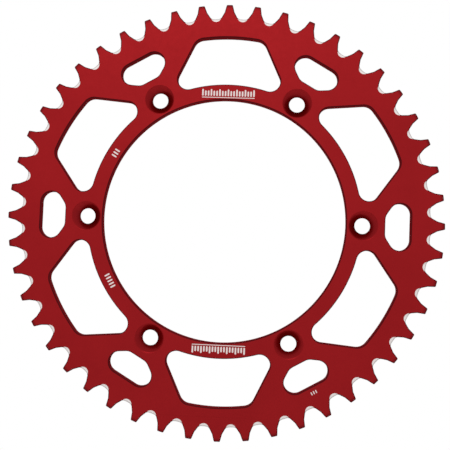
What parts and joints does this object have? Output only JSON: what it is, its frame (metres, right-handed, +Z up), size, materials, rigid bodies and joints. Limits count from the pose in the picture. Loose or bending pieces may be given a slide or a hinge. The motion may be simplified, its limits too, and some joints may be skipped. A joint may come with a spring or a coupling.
{
  "type": "rear sprocket",
  "caption": "Flat toothed ring for a motorcycle chain, with a large hub bore, countersunk bolt holes, wide windows and small slots, and mud relief at the tooth roots.",
  "frame": {"origin": "where the bore axis meets the back face, the one that bolts to the hub", "axes": "+Y along the wheel axle, out of the back face towards the hub; the front face with the countersinks looks towards -Y; +Z up, +X through a bolt hole"},
  "size_m": [0.2482, 0.0058, 0.2482],
  "materials": {
    "anodised_plate": "satin red anodised",
    "bare_aluminium": "bright as machined, in the relief at each tooth root",
    "etched_mark": "matt, laser etched through the anodising"
  },
  "bodies": {
    "root": {"sprocket_plate": "anodised_plate"}
  },
  "joints": []
}
